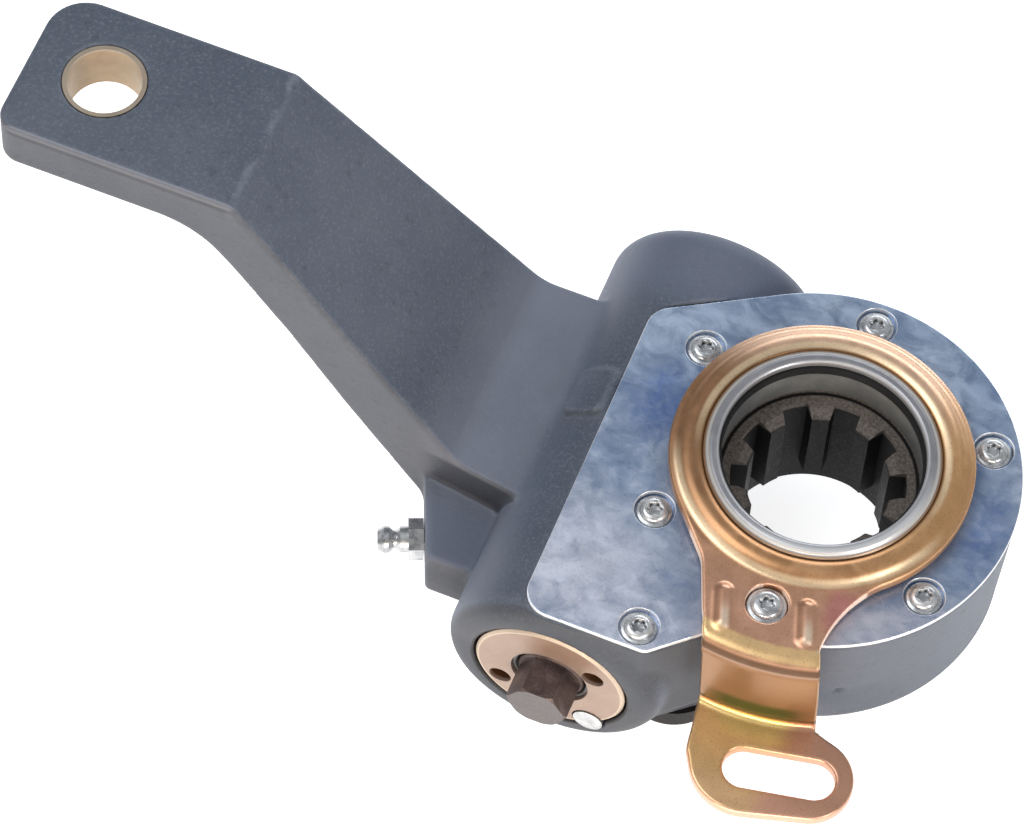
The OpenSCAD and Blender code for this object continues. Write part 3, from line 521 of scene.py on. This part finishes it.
def add(name, mesh, node, mat):
    obj = bpy.data.objects.new(name, mesh)
    SCENE.collection.objects.link(obj)
    obj.data.materials.clear()
    obj.data.materials.append(MATS[mat])
    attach(obj, body_of(node))
    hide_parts(node)
    return obj


def from_arrays(name, co, quads):
    me = bpy.data.meshes.new(name)
    me.vertices.add(len(co))
    me.vertices.foreach_set("co", np.ascontiguousarray(co, np.float32).ravel())
    n = len(quads)
    me.loops.add(4 * n)
    me.loops.foreach_set("vertex_index", np.ascontiguousarray(quads, np.int32).ravel())
    me.polygons.add(n)
    me.polygons.foreach_set("loop_start", np.arange(n, dtype=np.int32) * 4)
    me.polygons.foreach_set("loop_total", np.full(n, 4, np.int32))
    me.update(calc_edges=True)
    me.validate()
    return me


def smooth_shade(me, angle=None):
    me.polygons.foreach_set("use_smooth", np.ones(len(me.polygons), bool))
    if angle is not None:
        me.set_sharp_from_angle(angle=math.radians(angle))
    me.update()


# ---------------------------------------------------------------- distance fields, in millimetres
def unit(v):
    return v / np.linalg.norm(v)


def corner(p, c, n, r, k=9):
    """Arc that rounds corner c between p and n."""
    p, c, n = (np.asarray(v, float) for v in (p, c, n))
    a, b = unit(p - c), unit(n - c)
    h = math.acos(float(a @ b)) / 2
    m = c + unit(a + b) * r / math.sin(h)
    s, e = c + a * r / math.tan(h), c + b * r / math.tan(h)
    a0 = math.atan2(*(s - m)[::-1])
    da = (math.atan2(*(e - m)[::-1]) - a0 + 3 * math.pi) % (2 * math.pi) - math.pi
    return [m + r * np.array((math.cos(a0 + da * i / k), math.sin(a0 + da * i / k))) for i in range(k + 1)]


def round_poly(p, r):
    out = []
    for i, c in enumerate(p):
        out += corner(p[i - 1], c, p[(i + 1) % len(p)], r[i]) if r[i] > 0 else [np.array(c, float)]
    return np.array(out)


def arc(r, a0, a1, n):
    a = np.radians(np.linspace(a0, a1, n + 1))
    return np.c_[r * np.cos(a), r * np.sin(a)]


def poly(x, y, pts):
    """Signed distance to a closed outline, negative inside."""
    d = np.full(np.broadcast(x, y).shape, 1e9, np.float32)
    s = np.zeros(d.shape, bool)
    for i in range(len(pts)):
        a, b = pts[i - 1], pts[i]
        ex, ey = b - a
        l2 = ex * ex + ey * ey
        if l2 < 1e-12:
            continue
        wx, wy = x - a[0], y - a[1]
        t = np.clip((wx * ex + wy * ey) / l2, 0, 1)
        d = np.minimum(d, (wx - ex * t) ** 2 + (wy - ey * t) ** 2)
        if ey != 0:
            s ^= ((a[1] <= y) != (b[1] <= y)) & (x < a[0] + (y - a[1]) * ex / ey)
    d = np.sqrt(d)
    return np.where(s, -d, d).astype(np.float32)


def both(a, b, r):
    """Intersection with edges rounded to radius r."""
    if r <= 0:
        return np.maximum(a, b)
    a, b = a + r, b + r
    return np.hypot(np.maximum(a, 0), np.maximum(b, 0)) + np.minimum(np.maximum(a, b), 0) - r


def join(a, b, k):
    """Union with a fillet of about k."""
    h = np.maximum(k - np.abs(a - b), 0) / k
    return np.minimum(a, b) - h * h * k * 0.25


def cut(a, b, r=0.0):
    return both(a, -b, r)


def slab(v, lo, hi):
    return np.maximum(lo - v, v - hi)


def skin(field, lo, hi, h, name):
    """Closed quad mesh of field(x, y, z) = 0, with its vertices drawn onto the surface."""
    n = [int(math.ceil((b - a) / h)) + 1 for a, b in zip(lo, hi)]
    ax = [np.float32(a) + np.float32(h) * np.arange(k, dtype=np.float32) for a, k in zip(lo, n)]
    d = field(ax[0][:, None, None], ax[1][None, :, None], ax[2][None, None, :]).astype(np.float32)
    d = np.broadcast_to(d, n)
    s = d < 0
    c = s[:-1, :-1, :-1].astype(np.int8)
    for i in range(1, 8):
        c = c + s[(i & 1):n[0] - 1 + (i & 1), (i >> 1 & 1):n[1] - 1 + (i >> 1 & 1), (i >> 2):n[2] - 1 + (i >> 2)]
    act = np.argwhere((c > 0) & (c < 8))
    vid = np.full(c.shape, -1, np.int32)
    vid[tuple(act.T)] = np.arange(len(act))
    val = np.stack([d[act[:, 0] + (i & 1), act[:, 1] + (i >> 1 & 1), act[:, 2] + (i >> 2)] for i in range(8)], 1)
    pos, cnt = np.zeros((len(act), 3)), np.zeros(len(act))
    for i in range(8):
        for k in range(3):
            j = i | (1 << k)
            if j == i:
                continue
            m = (val[:, i] < 0) != (val[:, j] < 0)
            t = np.where(m, val[:, i] / np.where(m, val[:, i] - val[:, j], 1), 0)
            p = np.array([i & 1, i >> 1 & 1, i >> 2], float)[None].repeat(len(act), 0)
            p[:, k] += t
            pos += np.where(m[:, None], p, 0)
            cnt += m
    co = np.array(lo) + h * (act + pos / cnt[:, None])
    quads = []
    for k in range(3):
        a, b = [q for q in range(3) if q != k]
        s0 = np.take(s, range(n[k] - 1), k)
        s1 = np.take(s, range(1, n[k]), k)
        e = np.argwhere(s0 != s1)
        e = e[(e[:, a] > 0) & (e[:, b] > 0) & (e[:, a] < n[a] - 1) & (e[:, b] < n[b] - 1)]
        flip = s0[tuple(e.T)] ^ (k == 1)
        q = []
        for da, db in ((1, 1), (0, 1), (0, 0), (1, 0)):
            w = e.copy()
            w[:, a] -= da
            w[:, b] -= db
            q.append(vid[tuple(w.T)])
        q = np.stack(q, 1)
        q[~flip] = q[~flip][:, ::-1]
        quads.append(q)
    quads = np.concatenate(quads)
    # Draw the vertices onto the surface
    for _ in range(3):
        f = field(*(co[:, i].astype(np.float32) for i in range(3)))
        e = 0.05
        gr = np.stack([field(*((co[:, i] + (e if i == k else 0)).astype(np.float32) for i in range(3))) - f for k in range(3)], 1) / e
        ln = np.maximum((gr * gr).sum(1), 0.25)
        co -= np.clip(f / ln, -0.4 * h, 0.4 * h)[:, None] * gr
    return from_arrays(name, co * MM, quads)


# ---------------------------------------------------------------- outline of the cover plate
HUB_R, RIM_Z, WX = 43.2, 22.85, -38.4
SCREWS = [37.4 * np.array((math.cos(math.radians(a)), math.sin(math.radians(a)))) for a in (151.8, 91.3, 28.7, -34.3, -140.6)]
SCREWS.append(np.array((-21.9, -51.1)))


def on_hub(d, a):
    return (HUB_R - d) * np.array((math.cos(math.radians(a)), math.sin(math.radians(a))))


def cover_corners(d):
    c1, c2, c3 = (-47 + d, 22.3 - 0.45 * d), (-47 + d, -56.2 + d), (-18.7 - 0.3 * d, -56.2 + d)
    return corner(on_hub(d, 121), c1, c2, 6 - d) + corner(c1, c2, c3, 6 - d) + corner(c2, c3, on_hub(d, -95.3), 3)


def cover_outline(d, n=90):
    return np.array(list(arc(HUB_R - d, -95.3, 121, n)) + cover_corners(d))


# ---------------------------------------------------------------- cast housing
LEVER_PLAN = round_poly([(-40, -27), (-58, -27), (-73, -24.9), (-82, -23.7), (-100, -21.9), (-115, -19.8), (-128, -18.8), (-182.3, -18.8),
                         (-182.3, 17.8), (-128, 17.8), (-75, 26), (-58, 26), (-40, 26)], (0, 4, 20, 30, 40, 40, 30, 5, 9, 30, 20, 0, 0))
LEVER_SIDE = round_poly([(-40, 14), (-73.5, 14), (-128.3, 74.2), (-185, 74.2), (-185, 61.5), (-136.8, 61.5), (-76.9, -12.3), (-40, -12.3)],
                        (0, 7, 2.5, 0, 0, 17, 8, 0))
BLOCK = np.array([on_hub(1.6, -93.3), (0, 0), on_hub(1.6, 118.5)] + cover_corners(0))
BLOCK_LOW = np.array([(-1, -30), (-16, 20), (-40, 20)] + corner((-44, 10), (-44, -54), (-19, -54), 6)
                     + corner((-44, -54), (-19, -54), (-5, -42.4), 4) + [(-5, -42.4)])
CS = (-16.5, -38)


def housing_field(x, y, z):
    r = np.hypot(x, y)
    hub = both(r - (HUB_R - 0.1 - 0.0319 * np.clip(RIM_Z - z, 0, 31.35)), -13.5 - z, 3.5)
    d = join(hub, both(poly(x, y, BLOCK), -9 - z, 1.0), 0.8)
    d = np.maximum(join(d, both(poly(x, y, BLOCK_LOW), slab(z, -13.5, -7.5), 1.0), 1.2), z - RIM_Z)
    rw = np.hypot(x - WX, z)
    d = join(d, both(both(rw - 24.3, -57.7 - y, 5.0), y - 48, 6.5), 1.5)
    lever = both(poly(x, z, LEVER_SIDE), poly(x, y, LEVER_PLAN), 1.0)
    d = join(d, lever, 2.0)
    boss = both(both(poly(x, y, np.array([(-48, -20), (-82.7, -20), (-72.1, -45), (-48, -45)])), slab(z, -12, 8), 1.2),
                poly(-y, z, np.array([(18, -7.6), (18, 4), (42.8, 4), (44.7, -4), (44.8, -7.6)])), 1.2)
    d = join(d, boss, 1.2)
    u, w = 0.81915 * (x - WX) + 0.57358 * z, -0.57358 * (x - WX) + 0.81915 * z
    d = join(d, both(both(slab(u, -5.2, 5.2), slab(y, -5.8, 6.0), 2.2), slab(w, 18, 25.4), 1.0), 1.8)
    # Above the rim only the plate
    d = np.maximum(d, -np.maximum(poly(x, y, cover_outline(-0.3, 40)), RIM_Z - z))
    d = np.maximum(d, -np.maximum(np.maximum(slab(x, -43, -15), slab(y, -62, -50)), RIM_Z - z))
    # Chambers and bores
    d = np.maximum(d, -np.maximum(poly(x, y, cover_outline(1.7, 40)), 20.4 - z))
    d = np.maximum(d, -np.maximum(r - 33.3, -9.3 - z))
    d = cut(d, np.maximum(r - 27.2, z), 0.4)
    d = cut(d, np.maximum(rw - 17.55, y + 50.6), 0.4)
    bore = np.minimum(np.maximum(rw - 17.25, slab(y, -70, -30.9)), np.maximum(rw - 14.15, slab(y, -41, 18.1)))
    d = np.maximum(d, -np.minimum(bore, np.maximum(rw - 13.15, slab(y, 9, 38.2))))
    d = cut(d, np.maximum(np.hypot(x + 28.9, z + 12.8) - 3.75, y + 54.9), 0.3)
    rc = np.hypot(x - CS[0], y - CS[1])
    d = np.maximum(d, -np.maximum(rc - 8.75, z - 16))
    d = np.maximum(d, -np.maximum(rc - 11.9, z + 13.4))
    d = np.maximum(d, -np.maximum(rc - 11.15, 12.7 - z))
    for p in SCREWS:
        d = np.maximum(d, -np.maximum(np.hypot(x - p[0], y - p[1]) - 2.3, 15.1 - z))
    d = cut(d, np.maximum(np.hypot(x + 165, y) - 9.05, 40 - z), 0.5)
    c, s = math.cos(math.radians(203)), math.sin(math.radians(203))
    along = (x + 76.1) * c + (y + 35.6) * s
    d = np.maximum(d, -np.maximum(np.hypot((x + 76.1) * -s + (y + 35.6) * c, z + 3) - 2.75, slab(along, -30, 10)))
    # Small blow hole low on the hub's side
    q = np.sqrt((x - 19.86) ** 2 + (y + 37.57) ** 2 + (z - 2) ** 2)
    return cut(d, q - 0.95, 0.3)


house = skin(housing_field, (-185.0, -62, -26.6), (45.2, 50.6, 76.6), 0.75, "housing_cast")
smooth_shade(house)
add("housing_cast", house, "housing", "cast_paint")


# ---------------------------------------------------------------- pressed control arm
def deg(a):
    return np.array((math.cos(math.radians(a)), math.sin(math.radians(a))))


ARM_TAN, ARM_BEND, ARM_L, FIL_C = 32.8 * deg(-141.6), np.array((-15.2, -32.5)), np.array((-8.3, -50.0)), np.array((43.5, -42.6))
ARM_LEFT = np.array([(0, 0), ARM_TAN] + corner(ARM_TAN, ARM_BEND, ARM_L, 9) + [ARM_L, (4, -52), (17.4, -50), (15.3, -43), (15.3, -42.6)])
ARM_RIGHT = np.array([(0, 0), (6, -42.6), FIL_C, 32.9 * unit(FIL_C)])
ARM_NECK = np.array([53.2 * deg(-98 + 28.8 * i / 10) for i in range(11)] + [(24.5, -56), (0, -66), (-4.4, -63.5)])
ARM_SCREW = (1.4, -37.6)
ARM_LEFT_END = np.array([(-10.47, -44.5), (-8.05, -50.63), (-7.85, -53), (-30, -53), (-30, -44.5)])


def segment(u, v, w, a, b):
    """Distance to the segment from a to b along axis v of a frame u, v, w."""
    return np.sqrt(u * u + (v - np.clip(v, a, b)) ** 2 + w * w)


def arm_field(x, y, z):
    r = np.hypot(x, y)
    plan = np.minimum(r - 32.8, poly(x, y, ARM_LEFT))
    plan = np.minimum(plan, np.maximum(poly(x, y, ARM_RIGHT), 28.2 - np.hypot(x - FIL_C[0], y - FIL_C[1])))
    flat = both(np.maximum(plan, r - 48.6), slab(z, 25.2, 28.0), 0.55)
    # Sheet bent twice, as a strip round the bore axis
    line = np.hypot(r - np.clip(r, 47.5, 48.5), z - 26.6)
    line = np.minimum(line, np.where((r > 48.5) & (z > 24.4), np.abs(np.hypot(r - 48.5, z - 24.4) - 2.2), 99))
    line = np.minimum(line, np.hypot(r - 50.7, z - np.clip(z, 5.4, 24.4)))
    line = np.minimum(line, np.where((r < 53.5) & (z < 5.4), np.abs(np.hypot(r - 53.5, z - 5.4) - 2.8), 99))
    line = np.minimum(line, np.hypot(r - np.clip(r, 53.5, 55), z - 2.6))
    a0, a1 = math.radians(-102), math.radians(-69.2)
    wedge = np.maximum(x * math.sin(a0) - y * math.cos(a0), -x * math.sin(a1) + y * math.cos(a1))
    d = np.minimum(flat, both(wedge, line - 1.4, 0.55))
    # Foot with its slot
    c, s = deg(-76.3)
    u, v = x * c + y * s - 63.7, -x * s + y * c
    c, s = deg(2.2)
    u, v = u * c - v * s, u * s + v * c
    foot = np.minimum(np.hypot(u + 0.2, v - 6.2) - 9.7, np.hypot(u + 1.6, v + 7.2) - 12.2)
    foot = np.minimum(foot, poly(u, v, np.array([(-10, -7.2), (10.56, -6.2), (9.47, 6.99), (-10, 6.2)])))
    foot = join(foot, poly(x, y, ARM_NECK), 3.0)
    foot = np.maximum(foot, 53.3 - r)
    foot = cut(both(foot, slab(z, 1.2, 4.0), 0.6), np.hypot(u, v - np.clip(v, -7.35, 7.35)) - 4.65, 0.6)
    d = np.minimum(d, foot)
    # Bead round the silver ring and the two ribs
    bead = np.maximum(np.hypot(r - 27.9, z - 25.65) - 4.05, 25.2 - z)
    d = join(d, bead, 0.9)
    c, s = deg(18)
    for px, py in ((-6.8, -41.8), (10.7, -38.9)):
        e, f = (x - px) * c + (y - py) * s, -(x - px) * s + (y - py) * c
        d = join(d, np.maximum(segment(e, f, z - 26.75, -3.6, 3.6) - 2.25, 26 - z), 0.9)
    d = cut(d, r - 25.53, 0.2)
    q = np.hypot(x - ARM_SCREW[0], y - ARM_SCREW[1])
    d = np.maximum(cut(d, np.maximum(q - 4.6, 26.05 - z), 0.4), 2.2 - q)
    # Slanted edges of the drop
    ca, sa, cb, sb = *deg(6), *deg(2.95)
    p, q, w = x + 7.93, y + 51.5, z - 25
    p, q = p * ca + q * sa, -p * sa + q * ca
    p, w = p * cb + w * sb, -p * sb + w * cb
    left = np.maximum(np.maximum(slab(p, -30, 0), slab(w, -60, -1.5)), slab(q, -15, 6))
    left = np.minimum(left, np.maximum(poly(x, y, ARM_LEFT_END), 23 - z))
    d = cut(d, left, 0.55)
    ca, sa, cb, sb = *deg(19.2), *deg(3.4)
    p, q, w = x - 16.95, y + 47.78, z - 28
    p, q = p * ca + q * sa, -p * sa + q * ca
    p, w = p * cb + w * sb, -p * sb + w * cb
    return cut(d, both(np.maximum(slab(p, 0, 30), slab(w, -21.5, 18.5)), slab(q, -15, 4.6), 0.5), 0.55)


arm = skin(arm_field, (-34.2, -76.4, 0.2), (34.4, 34.0, 31.0), 0.42, "control_arm_pressed")
smooth_shade(arm)
add("control_arm_pressed", arm, "control_arm", "yellow_zinc")


# ---------------------------------------------------------------- cover plate
def circle(c, r, n=56):
    a = 2 * math.pi * np.arange(n) / n
    return np.c_[c[0] + r * np.cos(a), c[1] + r * np.sin(a)]


def sheet(bm, loops, z0, z1, edge):
    """Flat sheet with rounded edges and holes, from outlines in millimetres."""
    cu = bpy.data.curves.new("sheet", "CURVE")
    cu.dimensions = "2D"
    cu.fill_mode = "BOTH"
    cu.extrude = ((z1 - z0) / 2 - edge) * MM
    cu.bevel_depth = edge * MM
    cu.bevel_resolution = 3 if edge > 0 else 0
    cu.offset = -edge * MM
    for loop in loops:
        sp = cu.splines.new("POLY")
        sp.points.add(len(loop) - 1)
        for p, q in zip(sp.points, loop):
            p.co = (q[0] * MM, q[1] * MM, 0, 1)
        sp.use_cyclic_u = True
    obj = bpy.data.objects.new("sheet", cu)
    SCENE.collection.objects.link(obj)
    dg = bpy.context.evaluated_depsgraph_get()
    dg.update()
    me = bpy.data.meshes.new_from_object(obj.evaluated_get(dg))
    bpy.data.objects.remove(obj)
    bpy.data.curves.remove(cu)
    me.transform(Matrix.Translation((0, 0, (z0 + z1) / 2 * MM)))
    bm.from_mesh(me)
    bpy.data.meshes.remove(me)


def finish_hard(name, bm, angle=40):
    """Merge, then keep flat faces flat with area-weighted normals."""
    bmesh.ops.remove_doubles(bm, verts=bm.verts, dist=2e-6)
    bmesh.ops.recalc_face_normals(bm, faces=bm.faces)
    me = bpy.data.meshes.new(name)
    bm.to_mesh(me)
    bm.free()
    smooth_shade(me, angle)
    obj = bpy.data.objects.new("tmp", me)
    SCENE.collection.objects.link(obj)
    mod = obj.modifiers.new("w", "WEIGHTED_NORMAL")
    mod.weight = 100
    mod.keep_sharp = True
    dg = bpy.context.evaluated_depsgraph_get()
    dg.update()
    out = bpy.data.meshes.new_from_object(obj.evaluated_get(dg))
    bpy.data.objects.remove(obj)
    out.name = name
    return out


bm = bmesh.new()
sheet(bm, [cover_outline(0), circle((0, 0), 26, 128)] + [circle(p, 4.4) for p in SCREWS], 22.9, 24.0, 0.28)
sheet(bm, [cover_outline(0.85), circle((0, 0), 26.02, 128)] + [circle(p, 4.41) for p in SCREWS], 22.38, 23.4, 0)
sheet(bm, [cover_outline(0.85), circle((0, 0), 26.02, 128)] + [circle(p, 2.5) for p in SCREWS], 21.0, 22.4, 0)
add("cover_plate_stamped", finish_hard("cover_plate_stamped", bm), "cover_plate", "cover_zinc")


# ---------------------------------------------------------------- cover screws
def lathe(bm, rings, n, place):
    """Rings of (radius, height, lobe) closed at both ends into one skin."""
    rows = []
    for r, h, lobe in rings:
        if r == 0:
            rows.append([bm.verts.new(place(0.0, 0.0, h))])
            continue
        row = []
        for i in range(n):
            a = 2 * math.pi * i / n
            q = r + lobe * math.cos(6 * a)
            row.append(bm.verts.new(place(q * math.cos(a), q * math.sin(a), h)))
        rows.append(row)
    for a, b in zip(rows, rows[1:]):
        for i in range(n):
            j = (i + 1) % n
            f = [a[i % len(a)], a[j % len(a)], b[j % len(b)], b[i % len(b)]]
            f = [v for k, v in enumerate(f) if v not in f[:k]]
            if len(f) > 2:
                bm.faces.new(f)


HEAD = [(0, 0.85, 0), (0.5, 0.9, 0.02), (1.1, 0.95, 0.15), (1.38, 1.0, 0.2), (1.44, 1.1, 0.2), (1.5, 1.9, 0.2), (1.56, 2.04, 0.19),
        (1.7, 2.12, 0.15), (2.0, 2.11, 0.05), (2.3, 2.04, 0), (2.6, 1.88, 0), (2.82, 1.66, 0), (2.96, 1.36, 0), (3.02, 1.1, 0), (3.1, 0.98, 0),
        (3.25, 0.94, 0), (3.55, 0.9, 0), (3.74, 0.82, 0), (3.85, 0.66, 0), (3.88, 0.45, 0), (3.88, 0.02, 0), (2.08, 0.02, 0), (2.08, -6.6, 0), (1.7, -6.98, 0), (0, -6.98, 0)]
bm = bmesh.new()
for k, p in enumerate(SCREWS):
    ca, sa = deg(13 + 47 * k)
    lathe(bm, HEAD, 72, lambda x, y, z: ((p[0] + x * ca - y * sa) * MM, (p[1] + x * sa + y * ca) * MM, (22.4 + z) * MM))
add("cover_screws_turned", finish_hard("cover_screws_turned", bm, 50), "cover_screws", "bright_zinc")
bm = bmesh.new()
lathe(bm, [(r * 1.1 if h < 3 and r > 2.2 else r, h, lobe) for r, h, lobe in HEAD[:-4]] + [(2.08, 0.02, 0), (2.08, -0.6, 0), (1.9, -0.78, 0), (0, -0.78, 0)], 72,
      lambda x, y, z: ((ARM_SCREW[0] + x) * MM, (ARM_SCREW[1] + y) * MM, (26.05 + 0.98 * z) * MM))
add("arm_screw_turned", finish_hard("arm_screw_turned", bm, 50), "arm_screw", "bright_zinc")


# ---------------------------------------------------------------- floor, light, camera
def material_floor():
    m = Mat("floor")
    n = m.noise(6, 2, 0.5)
    m.set(color=m.ramp(n, (0.3, (0.86, 0.86, 0.86)), (0.7, (0.9, 0.9, 0.9))), rough=0.75, spec=0.2, glow=(1, 1, 1), glow_power=0.8)
    return m.m


fm = bpy.data.meshes.new("floor")
fz = cad_box[0][2] - 0.0003
fm.from_pydata([(-4, -4, fz), (4, -4, fz), (4, 4, fz), (-4, 4, fz)], [], [(0, 1, 2, 3)])
floor = bpy.data.objects.new("floor", fm)
SCENE.collection.objects.link(floor)
floor.data.materials.append(material_floor())

world = bpy.data.worlds.new("studio")
world.use_nodes = True
world.node_tree.nodes["Background"].inputs[0].default_value = (0.90, 0.95, 1.0, 1)
world.node_tree.nodes["Background"].inputs[1].default_value = 0.27
SCENE.world = world


def area(name, loc, target, size, power, color=(1, 1, 1)):
    l = bpy.data.lights.new(name, "AREA")
    l.shape = "RECTANGLE"
    l.size, l.size_y = size
    l.energy = power
    l.color = color
    o = bpy.data.objects.new(name, l)
    SCENE.collection.objects.link(o)
    o.location = loc
    o.rotation_euler = (Vector(target) - Vector(loc)).to_track_quat("-Z", "Y").to_euler()
    return o


area("key", (-0.55, -0.15, 0.95), (-0.05, 0, 0), (0.7, 0.7), 5, (0.94, 0.97, 1.0))
area("front", (0.10, -1.0, 0.22), (-0.03, 0, 0.01), (0.9, 0.35), 8.8, (1.0, 0.86, 0.71))
area("right", (0.85, -0.48, 0.56), (0, 0, 0), (0.32, 0.5), 4)
area("back", (-0.1, 1.0, 0.45), (-0.05, 0, 0), (0.9, 0.4), 4, (0.92, 0.96, 1.0))

cam = bpy.data.cameras.new("camera")
cam.sensor_width = 36
cam.sensor_fit = "HORIZONTAL"
cam.lens = 185.804
cam.clip_start = 0.01
camera = bpy.data.objects.new("camera", cam)
SCENE.collection.objects.link(camera)
R = Matrix(((0.927728, -0.338943, 0.156330), (0.371524, 0.798211, -0.474161), (0.035929, 0.497973, 0.866448)))
camera.matrix_world = Matrix.Translation((0.111190, -0.549493, 1.002688)) @ R.to_4x4()
SCENE.camera = camera
SCENE.view_settings.view_transform = "Standard"
